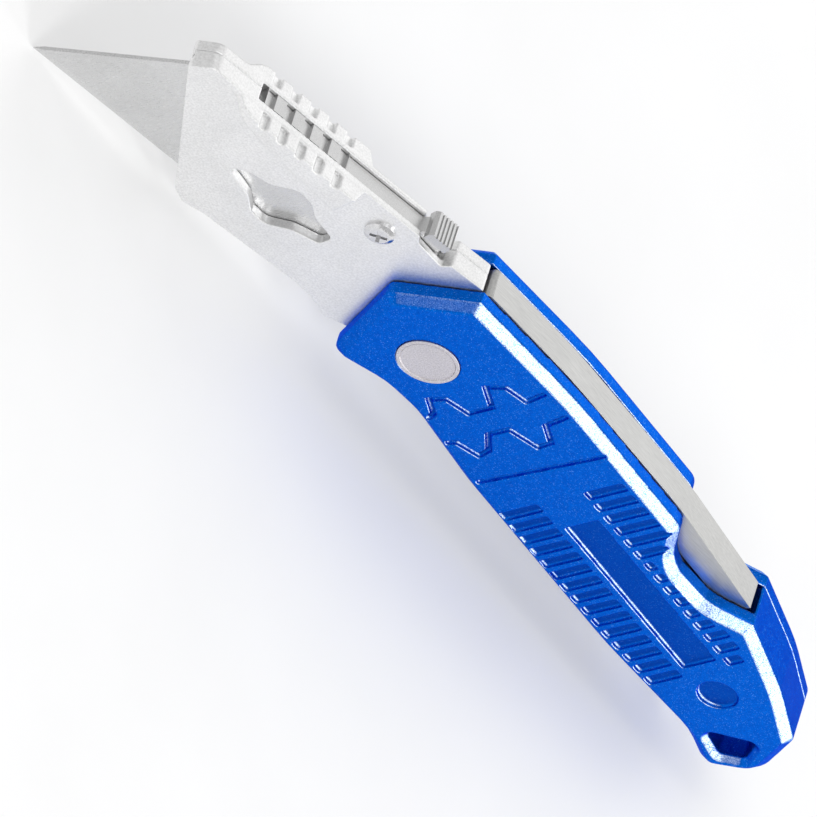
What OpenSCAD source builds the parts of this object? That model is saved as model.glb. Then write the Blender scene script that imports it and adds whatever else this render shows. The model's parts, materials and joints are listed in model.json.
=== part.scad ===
// Folding lock-back utility knife with a quick-change trapezoid blade.
// Frame: the origin is the centre of the pivot's outer disc, in the plane of the show face.
// +X runs from the pivot towards the tail of the handle, +Y across the handle towards the belt
// clip, and +Z towards the spine. The knife is drawn open, with the cutting edge down.

/* [Handle] */
// Thickness of the handle from the show face to the clip face
handle_t = 11.3; // [11:0.1:12]
// Thickness of each handle plate beside the cavity
wall_t = 3.2; // [3:0.1:3.4]
// Width of the 45 degree chamfer round each face
chamfer = 1.4; // [0.8:0.1:1.5]
// Depth of the moulded grooves in both faces
groove_depth = 0.65; // [0.2:0.1:0.8]
// Distance between the grip ribs
rib_pitch = 2.6; // [2.4:0.1:3.2]

/* [Blade] */
// Length of the trapezoid blade along its cutting edge
blade_len = 61; // [60:0.5:62]
// Height of the blade from cutting edge to back
blade_h = 19; // [18.5:0.25:19]
// Thickness of the blade
blade_t = 0.6; // [0.5:0.05:0.6]
// Angle between the cutting edge and each slanted end
blade_point = 52.5; // [50:0.5:55]

/* [Carrier] */
// Side clearance between the blade carrier and each handle plate
side_gap = 0.15; // [0.1:0.05:0.25]
// Reach of the grip wing on the show side
front_wing = 2.5; // [1.5:0.1:2.5]
// Reach of the grip wing on the clip side
rear_wing = 2.0; // [1.5:0.1:2.5]
// Distance between the grip notches
notch_pitch = 3.46; // [3.3:0.02:3.5]

/* [Pivot] */
// Radius of the pivot barrel that the carrier turns on
barrel_r = 3.5; // [3.2:0.1:3.6]
// Radius of the disc on the show side
disc_r = 4.45; // [4.2:0.05:4.6]
// Running clearance between barrel and bore
run_gap = 0.05; // [0.03:0.01:0.08]

/* [Belt clip] */
// Thickness of the clip's sheet steel
clip_t = 0.8; // [0.6:0.1:1]
// Height of the gap under the clip at its root
clip_gap = 1.5; // [1:0.1:1.8]

/* [Hidden] */
$fn = 64;

// Planes across the thickness
inner_front = wall_t;
inner_rear = handle_t - wall_t;
car_y0 = inner_front + side_gap;
car_y1 = inner_rear - side_gap;
blade_y0 = car_y0 + 1.55;
blade_y1 = blade_y0 + blade_t;
seam_y = car_y0 + 2.9;
slot_y0 = car_y0 + 1;
slot_y1 = car_y1 - 0.8;
fit_gap = 0.02;

// Places of the fasteners as [x, z]
lock_pin_at = [27.5, 9];
tail_screw_at = [77.2, -7.2];
clip_screw_at = [10, 0.9];
clip_peg_at = [12.2, -2];
carrier_screw_at = [-22.3, 6.6];

// Outlines seen from the show side, anticlockwise, as [x, z, corner radius]
HANDLE = [
    [-13.3, 2.2, 2], [-5.7, -12.9, 2], [2, -9.5, 10], [9, -8.8, 18], [24, -10.7, 60],
    [60, -12.5, 80], [79.5, -11.9, 12], [86.2, -14, 2.4], [90.5, -7.2, 4.5], [86.4, 1.4, 2],
    [76.5, 6.1, 40], [63.6, 10.4, 0], [57.5, 7, 9], [48.3, 7, 9], [42.3, 12.9, 3],
    [15, 14.5, 90], [-7, 13.6, 0]
];
// Opening for a lanyard at the tail, inside its bevelled mouth
LANYARD = [[80.1, -9.3, 0.9], [85.2, -10.4, 1], [87.3, -7.5, 1], [84.8, -3.6, 0.9]];
lanyard_bevel = 0.9;

// The carrier's spine line is tilted, and places along it are s (towards the tail) and h
spine_tilt = 10.4;
spine_h = 14.9;
tang_r = 10.7;
heel_r = 8.6;
notch_s0 = -45.8;
notch_count = 5;
lever_pin_at = [-28, 13.6];

// Blade direction, from the front tip along the cutting edge
blade_tilt = 10.9;
blade_tip = [-69.1, -19.7];

// ---- functions -------------------------------------------------------------
function unit(v) = v / norm(v);
function xz(p) = [p[0], p[1]];
function polar(r, a) = [r * cos(a), r * sin(a)];
function arc(r, a0, a1, n) = [for (i = [0 : n]) polar(r, a0 + (a1 - a0) * i / n)];

// One corner b between a and c, rounded to radius b[2]
function corner(a, b, c) = b[2] <= 0 ? [xz(b)] :
    let (
        u = unit(xz(a) - xz(b)),
        v = unit(xz(c) - xz(b)),
        half = acos(u * v) / 2,
        turn = 180 - 2 * half,
        reach = b[2] / tan(half),
        from = xz(b) + u * reach,
        centre = xz(b) + unit(u + v) * b[2] / sin(half),
        spoke = from - centre,
        side = u[0] * v[1] - u[1] * v[0] > 0 ? -1 : 1,
        steps = max(2, ceil(turn / 12))
    )
    [for (i = [0 : steps]) let (a = side * turn * i / steps)
        centre + [spoke[0] * cos(a) - spoke[1] * sin(a), spoke[0] * sin(a) + spoke[1] * cos(a)]];

function rounded(pts) = let (n = len(pts))
    [for (i = [0 : n - 1]) each corner(pts[(i + n - 1) % n], pts[i], pts[(i + 1) % n])];

// A ring of points moved inwards by d, for an anticlockwise ring
function inset(ring, d) = let (n = len(ring))
    [for (i = [0 : n - 1])
        let (
            e = unit(ring[i] - ring[(i + n - 1) % n]),
            f = unit(ring[(i + 1) % n] - ring[i]),
            p = [-e[1], e[0]],
            q = [-f[1], f[0]]
        )
        ring[i] + d * (p + q) / (1 + p * q)];

function level(ring, y) = [for (p = ring) [p[0], y, p[1]]];

// ---- shared shapes ---------------------------------------------------------
// A flat slab of an [x, z] outline between two planes across the thickness
module slab(ring, y0, y1) {
    translate([0, y1, 0])
        rotate([90, 0, 0])
            linear_extrude(y1 - y0)
                polygon(ring);
}

// A closed band between rings of equal length, joined each to the next and the last to the
// first. The rings run anticlockwise, and the order of the rings turns the faces outwards.
module band(rings) {
    n = len(rings[0]);
    m = len(rings);
    polyhedron(
        points = [for (r = rings) each r],
        faces = [for (k = [0 : m - 1]) for (i = [0 : n - 1])
            [k * n + i, k * n + (i + 1) % n, (k + 1) % m * n + (i + 1) % n, (k + 1) % m * n + i]]
    );
}

// Cutter for a 45 degree chamfer of width w along a ring at a face; dir points into the part.
// With a width below 0 it bevels the mouth of a hole instead.
module chamfer_cut(ring, w, face_y, dir) {
    over = w > 0 ? 0.3 : -0.3;
    deep = face_y + dir * (abs(w) + 0.3);
    clear = face_y - dir * 0.3;
    rings = [level(inset(ring, -over), deep), level(inset(ring, w + over), clear),
        level(inset(ring, -over), clear)];
    band(dir * w > 0 ? rings : [rings[2], rings[1], rings[0]]);
}

// A round rod across the thickness at an [x, z] place
module rod(at, r, y0, y1) {
    translate([at[0], y1, at[1]])
        rotate([90, 0, 0])
            cylinder(r = r, h = y1 - y0);
}

// Children drawn with x along the carrier's spine and z square to it
module along_spine() {
    rotate([0, -spine_tilt, 0]) children();
}

// Cross recess of a screw: the head's face is at y, and the recess goes towards dir
module cross_recess(at, size, depth, y, dir) {
    for (a = [0, 90])
        translate([at[0], y + dir * depth / 2, at[1]])
            rotate([0, a + 45, 0])
                cube([size, depth + 0.02, size * 0.22], center = true);
}

// Screw with a low domed head on the clip side (dir = -1) or show side (dir = 1)
module dome_screw(at, head_r, head_t, shank_r, face_y, tip_y, dir) {
    difference() {
        translate([at[0], face_y, at[1]])
            rotate([dir * -90, 0, 0])
                rotate_extrude()
                    polygon([[0, 0], [head_r * 0.62, 0], [head_r, head_t * 0.55], [head_r, head_t],
                        [shank_r, head_t], [shank_r, abs(tip_y - face_y)], [0, abs(tip_y - face_y)]]);
        cross_recess(at, head_r * 1.15, head_t * 0.7, face_y, dir);
    }
}

// ---- handle ----------------------------------------------------------------
handle_ring = rounded(HANDLE);
lanyard_ring = rounded(LANYARD);

// A groove of the face pattern along a line of points, drawn flat
module groove(pts, width) {
    for (i = [0 : len(pts) - 2])
        let (a = pts[i], b = pts[i + 1], d = b - a)
            translate(a)
                rotate(atan2(d[1], d[0]))
                    translate([-width / 2, -width / 2])
                        square([norm(d) + width, width]);
}

TREAD_FRONT = [
    [11.2, 11.7], [11.7, 8.5], [8.3, 7.5], [7.3, 4.6], [11.2, 3], [11.2, -1], [7.6, -2.3],
    [6.9, -4.8], [9.6, -5.9], [10.3, -7.2]
];
TREAD_REAR = [
    [16.3, 11.9], [16.9, 8.1], [20.2, 6.7], [20.4, 4.3], [15.9, 2.6], [15.9, -1], [18.8, -3],
    [19.3, -5], [15.9, -6.4], [15.6, -7.6]
];
CROSS_GROOVE = [[25.1, 12.2], [24.1, -8.4]];

// Height of the face's upper limit, which dips under the thumb scoop
function upper_limit(x) =
    x < 42 ? 11.4 :
    x < 47 ? 11.4 - (x - 42) * 0.95 :
    x < 58 ? 5.45 :
    x < 64 ? 5.45 + (x - 58) * 0.3 : 7.25 - (x - 64) * 0.42;
function lower_limit(x) = -9.9 - (x > 30 ? min(x - 30, 30) * 0.02 : 0);
// The panel in the middle of the grip, and the rib stretches above and below it
function panel_top(x) = 4.4 - (x - 30) * 0.05;
function panel_bottom(x) = -2.6 - (x - 30) * 0.05;

module grip_ribs() {
    for (i = [0 : floor(38.4 / rib_pitch)])
        let (x = 31.5 + i * rib_pitch, w = rib_pitch * 0.66) {
            translate([x - w / 2, panel_top(x) + 0.5])
                square([w, max(0.3, upper_limit(x) - panel_top(x) - 0.5)]);
            translate([x - w / 2, lower_limit(x)])
                square([w, panel_bottom(x) - lower_limit(x) - 0.5]);
        }
}

// The whole moulded pattern of the show face; the clip face has its mirror image.
// It ends in a plain sunk panel and a plain round dimple by the tail.
module face_pattern() {
    translate([0, groove_depth, 0])
        rotate([90, 0, 0])
            linear_extrude(groove_depth + 1) {
                groove(TREAD_FRONT, 0.8);
                groove(TREAD_REAR, 0.8);
                groove(CROSS_GROOVE, 0.7);
                grip_ribs();
                polygon([[36.2, -2.2], [67.2, -3.75], [67.2, 1.9], [36.2, 3.4]]);
                translate([73.6, -2.4]) circle(r = 2.9);
            }
}

module rear_face_pattern() {
    translate([0, handle_t, 0]) mirror([0, 1, 0]) face_pattern();
}

// Lanyard opening with a bevelled mouth on one face; dir points into the handle
module lanyard_cut(face_y, dir) {
    slab(lanyard_ring, -1, handle_t + 1);
    chamfer_cut(lanyard_ring, -lanyard_bevel, face_y, dir);
}

// Space between the plates: open to the belly and the front, and behind the lock bar.
// Its back is an arc that the blade's tip clears as it swings.
module cavity() {
    swing_r = norm(blade_tip) + 0.7;
    back = [for (a = [-16 : 2 : 0]) polar(swing_r, a)];
    slab([[-30, -30], [60, -30], each back, [swing_r, 2.2], [63.4, 2.2], [63.4, 30], [-30, 30]],
        inner_front, handle_t);
    // slot that holds the lock spring's tail
    translate([60, inner_front, 3.9]) cube([8, handle_t, 0.6]);
}

module front_shell() {
    color("royalblue")
    difference() {
        slab(handle_ring, 0, inner_rear);
        chamfer_cut(handle_ring, chamfer, 0, 1);
        cavity();
        face_pattern();
        lanyard_cut(0, 1);
        rod([0, 0], disc_r + 0.05, -1, 1.3);
        rod([0, 0], barrel_r + run_gap, 1, inner_front + 1);
        rod([0, 0], 6.1, inner_front - 0.35, inner_front + 1);
        rod(lock_pin_at, 1.02, 1.4, inner_front + 1);
        rod(tail_screw_at, 1.02, 2, inner_rear + 1);
    }
}

module rear_shell() {
    color("royalblue")
    difference() {
        slab(handle_ring, inner_rear, handle_t);
        chamfer_cut(handle_ring, chamfer, handle_t, -1);
        rear_face_pattern();
        lanyard_cut(handle_t, -1);
        rod([0, 0], barrel_r + run_gap, inner_rear - 1, handle_t + 1);
        rod([0, 0], 6.1, inner_rear - 1, inner_rear + 0.35);
        for (at = [lock_pin_at, tail_screw_at]) {
            rod(at, 1.1, 0, handle_t + 1);
            rod(at, 2.1, handle_t - 0.6, handle_t + 1);
        }
        rod(clip_screw_at, 1.22, inner_rear + 0.4, handle_t + 1);
        rod(clip_peg_at, 0.62, handle_t - 1, handle_t + 1);
    }
}

// ---- pivot -----------------------------------------------------------------
module pivot_post() {
    color("lightgray")
    difference() {
        union() {
            rod([0, 0], disc_r, -0.15, 1.25);
            rod([0, 0], barrel_r, 1.2, handle_t - 0.2);
        }
        rod([0, 0], disc_r - 0.6, -1, 0);
        rod([0, 0], 2.02, 4, handle_t);
    }
}

module pivot_washer() {
    color("silver")
    translate([0, handle_t, 0])
        rotate([-90, 0, 0])
            rotate_extrude()
                polygon([[2.4, 0], [4.75, 0], [4.75, 0.35], [4.2, 0.85], [3.4, 0.85], [2.4, 0.3]]);
}

module pivot_screw() {
    color("silver")
    dome_screw([0, 0], 2.9, 0.6, 1.98, handle_t + 1.45, 5, -1);
}

module thrust_washers() {
    color("darkgoldenrod")
    for (y = [inner_front - 0.33, inner_rear - 0.08])
        difference() {
            rod([0, 0], 6, y, y + 0.41);
            rod([0, 0], barrel_r + 0.08, y - 1, y + 2);
        }
}

// ---- lock bar --------------------------------------------------------------
hook_r = tang_r + 0.3;
LOCK_TOP = [
    [-6.2, 13.8, 1], [12, 14.5, 100], [41, 13.2, 60], [62.3, 10.2, 0]
];
module lock_bar() {
    top = [for (i = [1 : len(LOCK_TOP) - 2])
        each corner(LOCK_TOP[i - 1], LOCK_TOP[i], LOCK_TOP[i + 1])];
    nose = corner([-6.6, 9, 0], LOCK_TOP[0], LOCK_TOP[1]);
    under = [[-6.6, hook_r * sin(acos(-6.6 / hook_r))], each [for (a = [122 : -8 : 58]) polar(hook_r, a)],
        [10, 9.3], [22, 9.2], each [for (a = [190 : 20 : 350]) lock_pin_at + polar(2.85, a)],
        [33, 8.2], [46.5, 7.4], [61.9, 6.6]];
    ring = [each under, [62.3, 10.2], each [for (i = [len(top) - 1 : -1 : 0]) top[i]],
        each [for (i = [len(nose) - 1 : -1 : 0]) nose[i]]];
    color("gainsboro")
    difference() {
        slab(ring, car_y0, car_y1);
        rod(lock_pin_at, 1.66, 0, handle_t);
    }
}

module lock_bar_bush() {
    color("silver")
    difference() {
        rod(lock_pin_at, 1.6, inner_front, inner_rear);
        rod(lock_pin_at, 1.02, 0, handle_t);
    }
}

// Leaf spring held in the tail block, pressing up under the bar's rear arm
module lock_spring() {
    leaf = [[67.8, 4.2], [61.5, 4.2], [56, 4.9], [50.5, 6.3], [46.5, 7.05]];
    t = 0.25;
    up = [for (p = leaf) p + [0, t]];
    down = [for (i = [len(leaf) - 1 : -1 : 0]) leaf[i] - [0, t]];
    color("slategray")
    slab([each up, each down], car_y0 + 0.5, car_y1 - 0.5);
}

module shell_screws() {
    color("silver")
    for (at = [lock_pin_at, tail_screw_at])
        dome_screw(at, 2, 0.75, 1, handle_t + 0.15, 2.2, -1);
}

// ---- belt clip -------------------------------------------------------------
clip_top = handle_t + clip_t;
tongue_y = handle_t + clip_gap;
clip_root = [14.9, 0, -2.1];
module clip_plate() {
    ring = rounded([[7, -4.6, 2.2], [14.6, -5.6, 0.5], [14.6, 1.6, 0.5], [14.2, 5.6, 2.4], [7.2, 5.4, 3]]);
    color("gainsboro")
    difference() {
        union() {
            slab(ring, handle_t, clip_top);
            translate([13.8, clip_top - 0.01, -5.4]) cube([0.8, tongue_y + clip_t - clip_top, 6.8]);
        }
        rod(clip_screw_at, 1.25, 0, clip_top + 1);
        rod(clip_peg_at, 0.62, 0, clip_top + 1);
    }
}

module clip_screw() {
    color("silver")
    dome_screw(clip_screw_at, 2.1, 0.8, 1.2, clip_top + 0.8, inner_rear + 0.6, -1);
}

// The springing leaf of the clip, leaning in towards the handle and rounded at its end
module clip_tongue() {
    side = [[14.9, tongue_y], [50, handle_t + 0.45], [54, handle_t + 0.35], [59.3, handle_t + 1.1],
        [59.1, handle_t + 1.1 + clip_t], [54, handle_t + 0.35 + clip_t],
        [50, handle_t + 0.45 + clip_t], [14.9, tongue_y + clip_t]];
    plan = rounded([[14.9, -5.2, 0], [30, -5.7, 40], [44, -8.2, 60], [59.4, -8.8, 4.2],
        [59.4, -1.4, 4.6], [50, 0.8, 14], [14.9, 1, 0]]);
    color("gainsboro")
    intersection() {
        translate([0, 0, -20]) linear_extrude(40) polygon(side);
        slab(plan, handle_t, handle_t + 6);
    }
}

// ---- blade carrier ---------------------------------------------------------
function from_spine(s, h) = [s * cos(spine_tilt) - h * sin(spine_tilt), s * sin(spine_tilt) + h * cos(spine_tilt)];
shoulder_x = -6.9;
shoulder_a = acos(shoulder_x / tang_r);
carrier_ring = rounded([
    [-60.5, 1.2, 0.6],
    [-39.3, -16.2, 1.4],
    [-36.6, -16.9, 1.2],
    [-33.6, -15.5, 2],
    [-17, -11.4, 6],
    [-12.2, -11.2, 0.5],
    [-10.1, -11.9, 0.7],
    [-7.2, -10.1, 1],
    for (p = arc(heel_r, 258, 405, 16)) [p[0], p[1], 0],
    for (p = arc(tang_r, 68, shoulder_a, 8)) [p[0], p[1], 0],
    [shoulder_x, 13.5, 0.4],
    [-12.9, 12.2, 0.3],
    concat(from_spine(-11.3, 12.9), 0.2),
    concat(from_spine(-16.3, 13.7), 0.4),
    concat(from_spine(-17.4, spine_h), 0.4),
    concat(from_spine(-57, spine_h), 2.2)
]);

// Blade outline, widened by gap and drawn out to the front by reach
function blade_ring(gap, reach) =
    let (run = blade_h / tan(blade_point))
    [for (p = [[-reach - gap, -gap], [blade_len + gap * 2, -gap], [blade_len - run + gap, blade_h + gap],
        [run - reach - gap, blade_h + gap]])
        blade_tip + [p[0] * cos(blade_tilt) - p[1] * sin(blade_tilt), p[0] * sin(blade_tilt) + p[1] * cos(blade_tilt)]];

// Grip wing beside the spine. dir is -1 on the show side and 1 on the clip side.
module wing(face_y, reach, dir) {
    plan = [[-53.6, -0.2], [-51.6, 0.25], [-50, reach * 0.75], [-48.8, reach], [-29, reach],
        [-27.7, -0.2]];
    // its top stops just below the spine
    top = spine_h - 0.03;
    side = [[-53.5, top], [-53.5, 14.3], [-44, 11.9], [-28.2, 10.4], [-27.6, 10.8], [-27.6, top]];
    along_spine()
    difference() {
        intersection() {
            translate([0, face_y, 0])
                linear_extrude(30)
                    polygon([for (p = plan) [p[0], dir * p[1]]]);
            slab(side, face_y - 5, face_y + 5);
        }
        for (k = [0 : notch_count - 1])
            let (s = notch_s0 + k * notch_pitch)
                translate([0, face_y + dir * (reach / 2 + 0.25), 0])
                    slab([[s - 1.5, spine_h + 0.01], [s - 1.2, 14.3], [s - 0.1, 14.2], [s, spine_h + 0.01]],
                        -reach / 2 - 0.1, reach / 2 + 0.1);
    }
}

// Room for the release lever along the spine
module lever_slot() {
    along_spine() {
        slab([[-48.6, 12.7], [-11.3, 12.7], [-11.3, 20], [-48.6, 20]], slot_y0, slot_y1);
        slab([[-27, 11.4], [-11.3, 11.4], [-11.3, 13], [-27, 13]], slot_y0, slot_y1);
        slab([[-46.6, 12.3], [-43.2, 12.3], [-43.2, 13], [-46.6, 13]], slot_y0, slot_y1);
        // seat of the lever spring
        translate([-14.7, (slot_y0 + slot_y1) / 2, 8.6]) cylinder(r = 1.25, h = 4);
    }
}

module lever_pin_hole(y0, y1) {
    along_spine() rod(lever_pin_at, 0.41, y0, y1);
}

WINDOW = [
    [-40.6, -6.4, 0.8], [-38.8, -3.9, 1.2], [-35.6, -2.6, 2], [-33.2, 0.6, 2.2], [-30.2, 0.6, 2.2],
    [-27.6, -0.7, 3], [-23.2, -0.9, 1], [-22.9, -3.3, 1], [-26.6, -5.3, 3], [-29, -8.4, 2.2],
    [-31.8, -8.6, 2.2], [-34.6, -7, 3]
];

module carrier_front() {
    color("lightgray")
    difference() {
        union() {
            slab(carrier_ring, car_y0, seam_y);
            wing(car_y0, front_wing, -1);
        }
        slab(blade_ring(0.1, 45), blade_y0 - fit_gap, seam_y + 1);
        lever_slot();
        slab([for (i = [len(rounded(WINDOW)) - 1 : -1 : 0]) rounded(WINDOW)[i]], 0, blade_y0);
        rod([0, 0], barrel_r + run_gap, 0, handle_t);
        rod(carrier_screw_at, 1.04, 0, handle_t);
        lever_pin_hole(car_y0 + 0.4, handle_t);
        along_spine() rod([-53.5, 13.4], 0.76, car_y0 + 1.4, handle_t);
    }
}

module carrier_rear() {
    color("lightgray")
    difference() {
        union() {
            slab(carrier_ring, seam_y, car_y1);
            // pad that closes the blade's pocket
            intersection() {
                slab(carrier_ring, blade_y1 + fit_gap, seam_y + 0.1);
                slab(blade_ring(0.02, 45), 0, handle_t);
            }
            wing(car_y1, rear_wing, 1);
        }
        lever_slot();
        rod([0, 0], barrel_r + run_gap, 0, handle_t);
        rod(carrier_screw_at, 1.04, 0, car_y1 - 0.5);
        lever_pin_hole(0, car_y1 - 0.3);
        along_spine() rod([-53.5, 13.4], 0.76, 0, handle_t);
    }
}

module carrier_screw() {
    color("silver")
    dome_screw(carrier_screw_at, 2.15, 0.85, 1, car_y0 - 0.85, car_y1 - 0.6, 1);
}

module carrier_rivet() {
    color("silver")
    along_spine() {
        rod([-53.5, 13.4], 0.75, car_y0 + 1.5, car_y1 + 0.12);
        rod([-53.5, 13.4], 1.05, car_y1, car_y1 + 0.18);
    }
}

// ---- release lever ---------------------------------------------------------
lever_y0 = slot_y0 + 0.1;
lever_y1 = slot_y1 - 0.1;
lever_mid = (slot_y0 + slot_y1) / 2;
module release_lever() {
    teeth = [for (k = [0 : notch_count - 1])
        let (s = notch_s0 + k * notch_pitch)
            each [[s - 1.6, 14.8], [s - 1.3, 14.25], [s - 0.1, 14.15], [s, 14.8]]];
    strip = [[-47.5, 12.85], [-46, 12.85], [-45.6, 12.5], [-44.4, 12.5], [-44.2, 12.85], [-16.6, 12.85],
        [-16.2, 12.6], [-13, 12.6], [-12.8, 15.2], [-16.8, 15.2], [-17.4, 14.3],
        [notch_s0 + (notch_count - 1) * notch_pitch + 0.5, 14.25], each [for (i = [len(teeth) - 1 : -1 : 0]) teeth[i]],
        [-47.5, 14.8]];
    color("darkgray")
    along_spine()
    difference() {
        union() {
            slab(strip, lever_y0, lever_y1);
            // thumb button
            slab([[-16.7, 14.95], [-12.8, 14.95], [-12.8, 16.55], [-16.2, 16.55], [-16.7, 16]],
                lever_mid - 2.1, lever_mid + 2.1);
        }
        rod(lever_pin_at, 0.44, 0, handle_t);
        // ribs across the button
        for (i = [0 : 4])
            translate([-15.8 + i * 0.66, 0, 16.3]) cube([0.3, handle_t, 1]);
    }
}

module lever_pin() {
    color("silver")
    along_spine() rod(lever_pin_at, 0.4, car_y0 + 0.45, car_y1 - 0.35);
}

// Small coil spring standing under the button
module lever_spring() {
    turns = 4;
    per_turn = 16;
    wire = 0.14;
    coil = 0.85;
    low = 8.6 + wire;
    high = 12.6 - wire - 0.03;
    path = [for (i = [0 : turns * per_turn])
        let (a = i * 360 / per_turn)
            [coil * cos(a), coil * sin(a), low + (high - low) * i / (turns * per_turn)]];
    sides = 8;
    color("slategray")
    along_spine()
        translate([-14.7, lever_mid, 0])
            polyhedron(
                points = [for (i = [0 : len(path) - 1]) for (j = [0 : sides - 1])
                    let (a = i * 360 / per_turn, b = j * 360 / sides)
                        path[i] + wire * [cos(b) * cos(a), cos(b) * sin(a), sin(b)]],
                faces = [
                    [for (j = [0 : sides - 1]) j],
                    for (i = [0 : len(path) - 2]) for (j = [0 : sides - 1])
                        [i * sides + j, (i + 1) * sides + j, (i + 1) * sides + (j + 1) % sides,
                            i * sides + (j + 1) % sides],
                    [for (j = [sides - 1 : -1 : 0]) (len(path) - 1) * sides + j]
                ]
            );
}

// ---- blade -----------------------------------------------------------------
module blade() {
    color("silver")
    difference() {
        slab(blade_ring(0, 0), blade_y0, blade_y1);
        // two notches in the back that the lever's hook can drop into
        for (d = [24.5, 33])
            translate([blade_tip[0], 0, blade_tip[1]])
                rotate([0, -blade_tilt, 0])
                    translate([d, 0, blade_h - 1.6]) cube([3, handle_t, 3]);
        // ground edge on both sides
        translate([blade_tip[0], (blade_y0 + blade_y1) / 2, blade_tip[1]])
            rotate([0, -blade_tilt, 0])
                for (k = [-1, 1])
                    rotate([k * 13, 0, 0])
                        translate([-5, k > 0 ? -3 : 0, -1]) cube([blade_len + 10, 3, 2.3]);
    }
}

front_shell();
rear_shell();
pivot_post();
pivot_washer();
pivot_screw();
thrust_washers();
lock_bar();
lock_bar_bush();
lock_spring();
shell_screws();
clip_plate();
clip_screw();
clip_tongue();
carrier_front();
carrier_rear();
carrier_screw();
carrier_rivet();
release_lever();
lever_pin();
lever_spring();
blade();
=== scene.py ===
"""Looks of a folding lock-back utility knife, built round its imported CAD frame.

Lengths are in metres. +X runs to the tail, +Y to the belt clip and +Z to the spine.
"""

import json
import math

import bmesh
import bpy
from mathutils import Matrix, Vector

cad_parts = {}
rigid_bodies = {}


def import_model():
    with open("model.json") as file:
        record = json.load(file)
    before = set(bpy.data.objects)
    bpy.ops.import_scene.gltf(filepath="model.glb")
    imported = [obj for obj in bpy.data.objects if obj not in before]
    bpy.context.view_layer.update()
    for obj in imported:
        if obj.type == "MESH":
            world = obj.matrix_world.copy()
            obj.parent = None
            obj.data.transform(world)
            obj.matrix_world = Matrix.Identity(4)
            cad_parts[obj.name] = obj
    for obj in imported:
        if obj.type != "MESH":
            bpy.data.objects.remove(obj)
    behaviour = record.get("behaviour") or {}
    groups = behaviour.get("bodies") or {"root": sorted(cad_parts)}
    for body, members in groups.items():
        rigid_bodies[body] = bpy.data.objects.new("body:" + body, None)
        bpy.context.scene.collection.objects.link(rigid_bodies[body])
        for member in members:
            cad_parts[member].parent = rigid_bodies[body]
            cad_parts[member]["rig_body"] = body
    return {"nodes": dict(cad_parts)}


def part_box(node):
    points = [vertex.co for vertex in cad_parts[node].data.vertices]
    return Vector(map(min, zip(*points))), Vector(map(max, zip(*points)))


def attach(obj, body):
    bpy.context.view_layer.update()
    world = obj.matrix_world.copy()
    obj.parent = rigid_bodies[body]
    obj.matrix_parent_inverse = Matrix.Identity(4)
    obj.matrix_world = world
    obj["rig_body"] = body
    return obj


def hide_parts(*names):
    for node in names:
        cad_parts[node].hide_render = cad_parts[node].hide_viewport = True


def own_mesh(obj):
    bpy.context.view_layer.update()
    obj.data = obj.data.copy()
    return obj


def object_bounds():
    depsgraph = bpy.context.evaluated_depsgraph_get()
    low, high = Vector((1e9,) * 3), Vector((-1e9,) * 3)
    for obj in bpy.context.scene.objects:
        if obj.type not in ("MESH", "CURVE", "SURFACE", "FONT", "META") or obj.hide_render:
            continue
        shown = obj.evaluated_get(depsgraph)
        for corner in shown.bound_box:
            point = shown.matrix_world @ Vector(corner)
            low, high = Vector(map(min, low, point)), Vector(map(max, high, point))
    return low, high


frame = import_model()
cad_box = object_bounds()

MM = 0.001
BODY_OF = {name: node["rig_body"] for name, node in frame["nodes"].items()}


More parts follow.
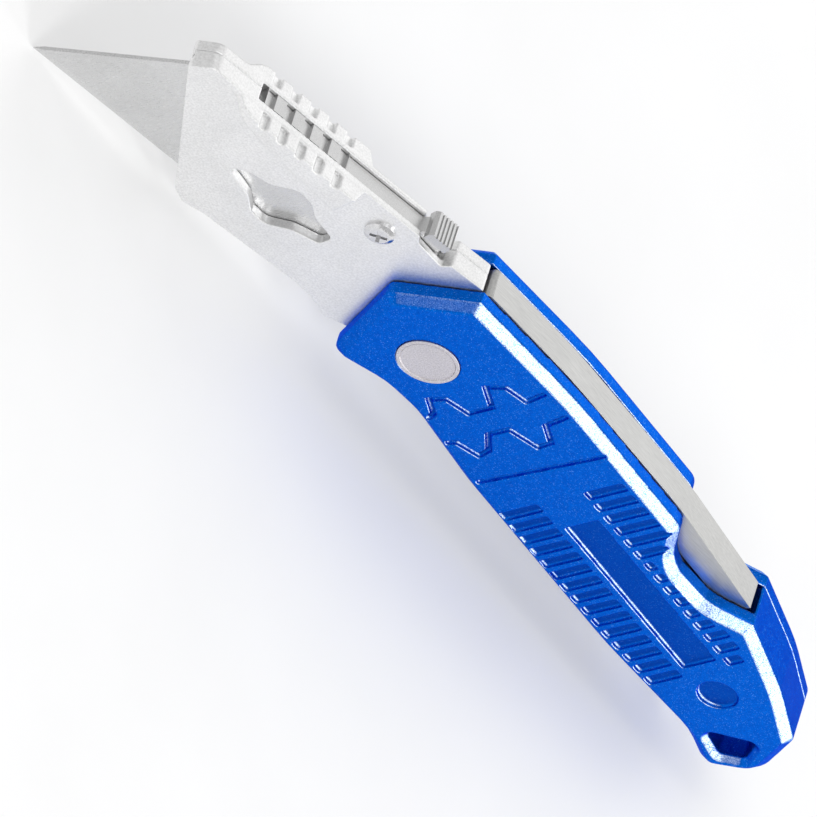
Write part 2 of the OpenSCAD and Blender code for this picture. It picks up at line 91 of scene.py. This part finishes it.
# ---- materials ---------------------------------------------------------------
class Surface:
    """A Principled material with helpers that add procedural detail in object space."""

    def __init__(self, name, metallic, roughness):
        self.mat = bpy.data.materials.new(name)
        self.mat.use_nodes = True
        self.tree = self.mat.node_tree
        self.shader = self.tree.nodes["Principled BSDF"]
        self.shader.inputs["Metallic"].default_value = metallic
        self.shader.inputs["Roughness"].default_value = roughness
        places = self.tree.nodes.new("ShaderNodeTexCoord")
        self.coords = places.outputs["Object"]
        self.normals = places.outputs["Normal"]

    def node(self, kind, **values):
        made = self.tree.nodes.new(kind)
        for key, value in values.items():
            setattr(made, key, value)
        return made

    def link(self, source, socket):
        self.tree.links.new(source, socket)

    def noise(self, size, stretch=(1, 1, 1), detail=3.0):
        """Noise with features of about size metres; a stretch below 1 draws them out along that axis."""
        mapping = self.node("ShaderNodeMapping")
        mapping.inputs["Scale"].default_value = stretch
        self.link(self.coords, mapping.inputs["Vector"])
        made = self.node("ShaderNodeTexNoise")
        made.inputs["Scale"].default_value = 1 / size
        made.inputs["Detail"].default_value = detail
        self.link(mapping.outputs["Vector"], made.inputs["Vector"])
        return made.outputs["Fac"]

    def cells(self, size):
        """A random value for each cell of about size metres."""
        made = self.node("ShaderNodeTexVoronoi")
        made.inputs["Scale"].default_value = 1 / size
        self.link(self.coords, made.inputs["Vector"])
        channels = self.node("ShaderNodeSeparateColor")
        self.link(made.outputs["Color"], channels.inputs["Color"])
        return channels.outputs["Red"]

    def ramp(self, value, stops):
        """A colour ramp through (position, colour) stops."""
        made = self.node("ShaderNodeValToRGB")
        elements = made.color_ramp.elements
        while len(elements) < len(stops):
            elements.new(0.5)
        for element, (at, colour) in zip(elements, stops):
            element.position = at
            element.color = (*colour, 1)
        self.link(value, made.inputs["Fac"])
        return made.outputs["Color"]

    def span(self, value, low, high, start=0.3, end=0.7):
        """Low where the value is start, high where it is end, and in between on a straight line."""
        made = self.node("ShaderNodeMapRange")
        limits = {"From Min": start, "From Max": end, "To Min": low, "To Max": high}
        for key, number in limits.items():
            made.inputs[key].default_value = number
        self.link(value, made.inputs["Value"])
        return made.outputs["Result"]

    def split(self, vector):
        """The X, Y and Z sockets of a vector."""
        made = self.node("ShaderNodeSeparateXYZ")
        self.link(vector, made.inputs["Vector"])
        return made.outputs

    def maths(self, operation, *sources):
        """A Math node on sockets or plain numbers."""
        made = self.node("ShaderNodeMath", operation=operation)
        for socket, source in zip(made.inputs, sources):
            if isinstance(source, (int, float)):
                socket.default_value = source
            else:
                self.link(source, socket)
        return made.outputs["Value"]

    def mix(self, factor, under, over):
        """The colour under, replaced by the colour over as far as factor says."""
        made = self.node("ShaderNodeMix", data_type="RGBA")
        if isinstance(factor, float):
            made.inputs[0].default_value = factor
        else:
            self.link(factor, made.inputs[0])
        self.link(under, made.inputs[6])
        if isinstance(over, tuple):
            made.inputs[7].default_value = (*over, 1)
        else:
            self.link(over, made.inputs[7])
        return made.outputs[2]

    def multiplied(self, first, second):
        """The product of two colours."""
        made = self.node("ShaderNodeMix", data_type="RGBA", blend_type="MULTIPLY")
        made.inputs[0].default_value = 1.0
        self.link(first, made.inputs[6])
        self.link(second, made.inputs[7])
        return made.outputs[2]

    def colour(self, socket):
        self.link(socket, self.shader.inputs["Base Color"])

    def roughness(self, socket):
        self.link(socket, self.shader.inputs["Roughness"])

    def bump(self, *layers):
        """Bump from (height socket, depth in metres, strength) layers."""
        normal = None
        for socket, depth, strength in layers:
            made = self.node("ShaderNodeBump")
            made.inputs["Strength"].default_value = strength
            made.inputs["Distance"].default_value = depth
            self.link(socket, made.inputs["Height"])
            if normal is not None:
                self.link(normal, made.inputs["Normal"])
            normal = made.outputs["Normal"]
        self.link(normal, self.shader.inputs["Normal"])


FLAKE = 0.11 * MM
MOTTLE = 1.1 * MM
EDGE_BLUE = (0.0, 0.3, 1.0, 1)
GROOVE_SHADE_BLUE = (0.0, 0.035, 0.30)
HIGHLIGHT_WHITE = (0.66, 0.80, 1.0)


def blue_paint():
    """Metallic blue flake paint, with painted highlights on upward chamfers and painted shade in
    grooves.
    """
    s = Surface("blue_flake_paint", metallic=1.0, roughness=0.36)
    s.shader.inputs["Specular Tint"].default_value = EDGE_BLUE
    s.shader.inputs["Coat Weight"].default_value = 0.04
    s.shader.inputs["Coat Roughness"].default_value = 0.16
    mottle = s.noise(MOTTLE, detail=4.0)
    flake = s.cells(FLAKE)
    body = s.ramp(mottle, [(0.3, (0.0, 0.115, 0.60)), (0.7, (0.0, 0.155, 0.72))])
    glint = s.ramp(flake, [(0.0, (0.0, 0.065, 0.44)), (0.6, (0.0, 0.12, 0.64)),
                           (0.93, (0.0, 0.20, 0.86)), (1.0, (0.22, 0.50, 1.0))])
    paint = s.mix(0.5, body, glint)

    normal = s.split(s.normals)
    place = s.split(s.coords)
    sideways = s.maths("ABSOLUTE", normal["Y"])
    # Painted shade: the grooves, flat floors that lie below either face, are darkened
    middle = (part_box("front_shell")[0].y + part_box("rear_shell")[1].y) / 2
    off_centre = s.maths("ABSOLUTE", s.maths("SUBTRACT", place["Y"], middle))
    depth = s.maths("SUBTRACT", middle, off_centre)
    below_face = s.span(depth, 0.0, 1.0, 0.2 * MM, 0.5 * MM)
    flat_floor = s.span(sideways, 0.0, 1.0, 0.75, 0.95)
    groove_shade = s.maths("MULTIPLY", below_face, flat_floor)
    paint = s.mix(s.maths("MULTIPLY", groove_shade, 0.55), paint, GROOVE_SHADE_BLUE)
    # Painted highlight: chamfers and edges between a face and the spine's side that face up are
    # lightened to near-white, speckled by the flake cells
    faces_up = s.span(normal["Z"], 0.0, 1.0, 0.32, 0.5)
    faces_out = s.span(sideways, 0.0, 1.0, 0.45, 0.62)
    chamfer = s.maths("MULTIPLY", faces_up, faces_out)
    chamfer_highlight = s.maths("MULTIPLY", chamfer, s.span(flake, 0.15, 1.0, 0.15, 0.65))
    s.colour(s.mix(chamfer_highlight, paint, HIGHLIGHT_WHITE))
    s.roughness(s.span(flake, 0.28, 0.48, 0.0, 1.0))
    s.bump((flake, 0.015 * MM, 0.3), (mottle, 0.02 * MM, 0.2))
    return s.mat


CLOUD = 7 * MM
GRAIN_DEPTH = 0.012 * MM


def satin(name, dark, light, roughness, grain=0.16 * MM, stretch=(1, 1, 1), crevice_shade=False):
    """Metal between two greys or tints, with fine grain and, if asked for, painted shade in inner
    corners.
    """
    s = Surface(name, metallic=1.0, roughness=roughness)
    fine = s.noise(grain, stretch, detail=5.0)
    wide = s.noise(CLOUD, detail=2.0)
    tone = s.ramp(fine, [(0.25, dark), (0.75, light)])
    cloud = s.ramp(wide, [(0.3, (0.94, 0.94, 0.94)), (0.7, (1.0, 1.0, 1.0))])
    tone = s.multiplied(tone, cloud)
    # Painted shade: inner corners and notches are darkened where the surface curves inwards
    if crevice_shade:
        curve = s.node("ShaderNodeNewGeometry").outputs["Pointiness"]
        shade = s.ramp(curve, [(0.40, (0.45, 0.45, 0.45)), (0.49, (1.0, 1.0, 1.0))])
        tone = s.multiplied(tone, shade)
    s.colour(tone)
    s.roughness(s.span(fine, roughness - 0.06, roughness + 0.08))
    s.bump((fine, GRAIN_DEPTH, 0.5))
    return s.mat


ALONG_X = (0.06, 1, 1)
ALONG_CLIP = (0.08, 1, 1)
ALONG_Z = (1, 1, 0.05)

MATERIALS = {
    "paint": blue_paint(),
    "cast": satin("satin_cast_alloy", (0.74, 0.74, 0.74), (0.97, 0.97, 0.97), 0.42, 0.3 * MM,
                  crevice_shade=True),
    "bar": satin("brushed_bar_steel", (0.42, 0.42, 0.415), (0.60, 0.60, 0.59), 0.38, 0.14 * MM,
                 ALONG_X),
    "clip": satin("rolled_clip_steel", (0.66, 0.66, 0.66), (0.86, 0.86, 0.86), 0.30, 0.12 * MM,
                  ALONG_CLIP),
    "screw": satin("bright_screw_steel", (0.62, 0.62, 0.63), (0.82, 0.82, 0.83), 0.16, 0.25 * MM),
    "disc": satin("turned_pivot_steel", (0.48, 0.46, 0.48), (0.84, 0.81, 0.84), 0.42, 0.2 * MM),
    "blade": satin("ground_blade_steel", (0.56, 0.56, 0.565), (0.80, 0.80, 0.80), 0.27, 0.07 * MM,
                   ALONG_Z),
    "lever": satin("stamped_lever_steel", (0.52, 0.52, 0.52), (0.70, 0.70, 0.70), 0.38),
    "spring": satin("spring_steel", (0.20, 0.20, 0.21), (0.36, 0.36, 0.38), 0.34),
    "bronze": satin("washer_bronze", (0.42, 0.29, 0.13), (0.62, 0.45, 0.22), 0.36),
}

# The material and the width of the eased edges in millimetres, for each turned, cut or stamped node
METAL_LOOKS = {
    "pivot_post": ("disc", 0.12),
    "pivot_washer": ("screw", 0.06),
    "pivot_screw": ("screw", 0.0),
    "thrust_washers": ("bronze", 0.05),
    "lock_bar": ("bar", 0.12),
    "lock_bar_bush": ("screw", 0.05),
    "lock_spring": ("spring", 0.04),
    "shell_screws": ("screw", 0.0),
    "clip_plate": ("clip", 0.12),
    "clip_screw": ("screw", 0.0),
    "clip_tongue": ("clip", 0.12),
    "carrier_screw": ("screw", 0.0),
    "carrier_rivet": ("screw", 0.05),
    "release_lever": ("lever", 0.0),
    "lever_pin": ("screw", 0.04),
    "lever_spring": ("spring", 0.0),
    "blade": ("blade", 0.0),
}
# The material, the voxel size and the rounds of smoothing, for each moulded or cast node
CAST_LOOKS = {
    "front_shell": ("paint", 0.2 * MM, 3),
    "rear_shell": ("paint", 0.2 * MM, 3),
    "carrier_front": ("cast", 0.14 * MM, 2),
    "carrier_rear": ("cast", 0.14 * MM, 2),
}


# ---- pieces ------------------------------------------------------------------
JOIN_WITHIN = 0.0005 * MM
FLAT_ANGLE = math.radians(0.6)
EASED_ANGLE = math.radians(28)
SMOOTH_ANGLE = math.radians(38)
SHORTEST_EASED = 3


def joined_copy(node):
    """A bmesh of a CAD node with its split corners joined and its flat faces whole."""
    bm = bmesh.new()
    bm.from_mesh(frame["nodes"][node].data)
    bmesh.ops.remove_doubles(bm, verts=bm.verts, dist=JOIN_WITHIN)
    bmesh.ops.dissolve_limit(bm, angle_limit=FLAT_ANGLE, verts=bm.verts, edges=bm.edges)
    return bm


def finished(bm, node, material):
    """Turns bm into the piece that stands for a CAD node and rides on its body."""
    name = node + "_finish"
    mesh = bpy.data.meshes.new(name)
    bm.to_mesh(mesh)
    bm.free()
    piece = bpy.data.objects.new(name, mesh)
    bpy.context.scene.collection.objects.link(piece)
    mesh.materials.append(MATERIALS[material])
    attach(piece, BODY_OF[node])
    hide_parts(node)
    return piece


def eased_piece(node, material, width_mm):
    """A metal piece whose sharp edges are rounded over, apart from edges too short for it."""
    bm = joined_copy(node)
    width = width_mm * MM
    if width:
        sharp = [e for e in bm.edges if len(e.link_faces) == 2
                 and e.calc_face_angle(0) > EASED_ANGLE
                 and e.calc_length() > SHORTEST_EASED * width]
        bmesh.ops.bevel(bm, geom=sharp, offset=width, offset_type="OFFSET", segments=3,
                        profile=0.5, affect="EDGES", clamp_overlap=False)
    for face in bm.faces:
        face.smooth = True
    for edge in bm.edges:
        edge.smooth = len(edge.link_faces) == 2 and edge.calc_face_angle(0) < SMOOTH_ANGLE
    piece = finished(bm, node, material)
    weigh = piece.modifiers.new("flat_faces", "WEIGHTED_NORMAL")
    weigh.keep_sharp = True
    return piece


def moulded_piece(node, material, voxel, rounds):
    """A casting: the CAD shape with every edge softened."""
    piece = finished(joined_copy(node), node, material)
    remesh = piece.modifiers.new("soften", "REMESH")
    remesh.mode = "VOXEL"
    remesh.voxel_size = voxel
    remesh.use_smooth_shade = True
    smooth = piece.modifiers.new("round_edges", "SMOOTH")
    smooth.factor = 0.5
    smooth.iterations = rounds
    apply_modifiers(piece)
    return piece


def apply_modifiers(piece):
    """Makes the result of a piece's modifiers its own mesh."""
    graph = bpy.context.evaluated_depsgraph_get()
    mesh = bpy.data.meshes.new_from_object(piece.evaluated_get(graph))
    old = piece.data
    piece.modifiers.clear()
    piece.data = mesh
    bpy.data.meshes.remove(old)


for part, (finish, voxel_size, smoothings) in CAST_LOOKS.items():
    moulded_piece(part, finish, voxel_size, smoothings)
metal = {part: eased_piece(part, finish, ease) for part, (finish, ease) in METAL_LOOKS.items()}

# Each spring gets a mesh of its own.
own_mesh(metal["lock_spring"])
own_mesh(metal["lever_spring"])


# ---- camera, floor and light -------------------------------------------------
# The knife lies across the picture, so the picture's axes are given in the model's frame.
BACK = Vector((-0.560, -0.593, 0.579)).normalized()
UP = BACK.cross(Vector((0.561, 0.243, 0.791)).normalized()).normalized()
RIGHT = UP.cross(BACK).normalized()

SENSOR_WIDTH_MM = 36
FRAME_WIDTH = 110.2 * MM
CAMERA_FAR = 4.8
# Where the pivot disc is in the picture, from its middle
DISC_RIGHT = 2.62 * MM
DISC_UP = 6.27 * MM


def add_camera():
    """A distant camera on the show side, above the knife and towards its blade."""
    low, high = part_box("pivot_post")
    disc = Vector(((low.x + high.x) / 2, 0, (low.z + high.z) / 2))
    aim = disc - RIGHT * DISC_RIGHT - UP * DISC_UP
    data = bpy.data.cameras.new("camera")
    data.sensor_width = SENSOR_WIDTH_MM
    data.lens = SENSOR_WIDTH_MM * CAMERA_FAR / FRAME_WIDTH
    data.clip_start = 0.01
    data.clip_end = 40
    camera = bpy.data.objects.new("camera", data)
    bpy.context.scene.collection.objects.link(camera)
    camera.location = aim + BACK * CAMERA_FAR
    camera.rotation_mode = "QUATERNION"
    camera.rotation_quaternion = Matrix((RIGHT, UP, BACK)).transposed().to_quaternion()
    bpy.context.scene.camera = camera


FLOOR_REACH = 12.0
FLOOR_GAP = 0.4 * MM
FLOOR_CLOUD = 40 * MM


def add_floor():
    """A plain pale floor just under the lowest point of the knife."""
    bm = bmesh.new()
    bmesh.ops.create_grid(bm, x_segments=1, y_segments=1, size=FLOOR_REACH)
    mesh = bpy.data.meshes.new("floor")
    bm.to_mesh(mesh)
    bm.free()
    floor = bpy.data.objects.new("floor", mesh)
    floor.location = (0, 0, cad_box[0].z - FLOOR_GAP)
    bpy.context.scene.collection.objects.link(floor)
    s = Surface("pale_floor", metallic=0.0, roughness=0.7)
    cloud = s.noise(FLOOR_CLOUD)
    s.colour(s.ramp(cloud, [(0.3, (0.93, 0.93, 0.93)), (0.7, (0.96, 0.96, 0.96))]))
    mesh.materials.append(s.mat)


LAMP_FAR = 2.4
# The direction from the knife, the width in metres and the power in watts of each lamp. The three
# chamfer lamps stand where the camera sees them mirrored in the bevelled edge of the show side.
LAMPS = {
    "chamfer_mid": ((0.56, -0.58, 0.59), 0.62, 10.0),
    "chamfer_left": ((-0.12, -0.77, 0.62), 0.62, 8.0),
    "chamfer_tail": ((0.93, -0.28, 0.23), 0.62, 9.0),
    "spine": ((0.56, 0.59, 0.58), 2.2, 10.0),
    "top": ((-0.5, 0.1, 1.0), 2.0, 10.0),
}


def add_lamp(name, direction, width, power):
    """A round soft lamp that faces the knife."""
    data = bpy.data.lights.new(name, "AREA")
    data.shape = "DISK"
    data.size = width
    data.energy = power
    lamp = bpy.data.objects.new(name, data)
    bpy.context.scene.collection.objects.link(lamp)
    centre = (cad_box[0] + cad_box[1]) / 2
    towards = Vector(direction).normalized()
    lamp.location = centre + towards * LAMP_FAR
    lamp.rotation_mode = "QUATERNION"
    lamp.rotation_quaternion = towards.to_track_quat("Z", "Y")
    lamp.visible_camera = False


SURROUND_LIGHT = 0.62
SURROUND_SEEN = 1.0


def add_world():
    """Soft white surroundings, brighter where the camera sees past the floor so that no edge shows."""
    world = bpy.data.worlds.new("studio")
    world.use_nodes = True
    tree = world.node_tree
    light = tree.nodes["Background"]
    light.inputs["Color"].default_value = (1, 1, 1, 1)
    seen = tree.nodes.new("ShaderNodeLightPath").outputs["Is Camera Ray"]
    strength = tree.nodes.new("ShaderNodeMapRange")
    strength.inputs["To Min"].default_value = SURROUND_LIGHT
    strength.inputs["To Max"].default_value = SURROUND_SEEN
    tree.links.new(seen, strength.inputs["Value"])
    tree.links.new(strength.outputs["Result"], light.inputs["Strength"])
    bpy.context.scene.world = world


add_camera()
add_floor()
for lamp_name, (lamp_direction, lamp_width, watts) in LAMPS.items():
    add_lamp(lamp_name, lamp_direction, lamp_width, watts)
add_world()
bpy.context.scene.view_settings.view_transform = "Standard"
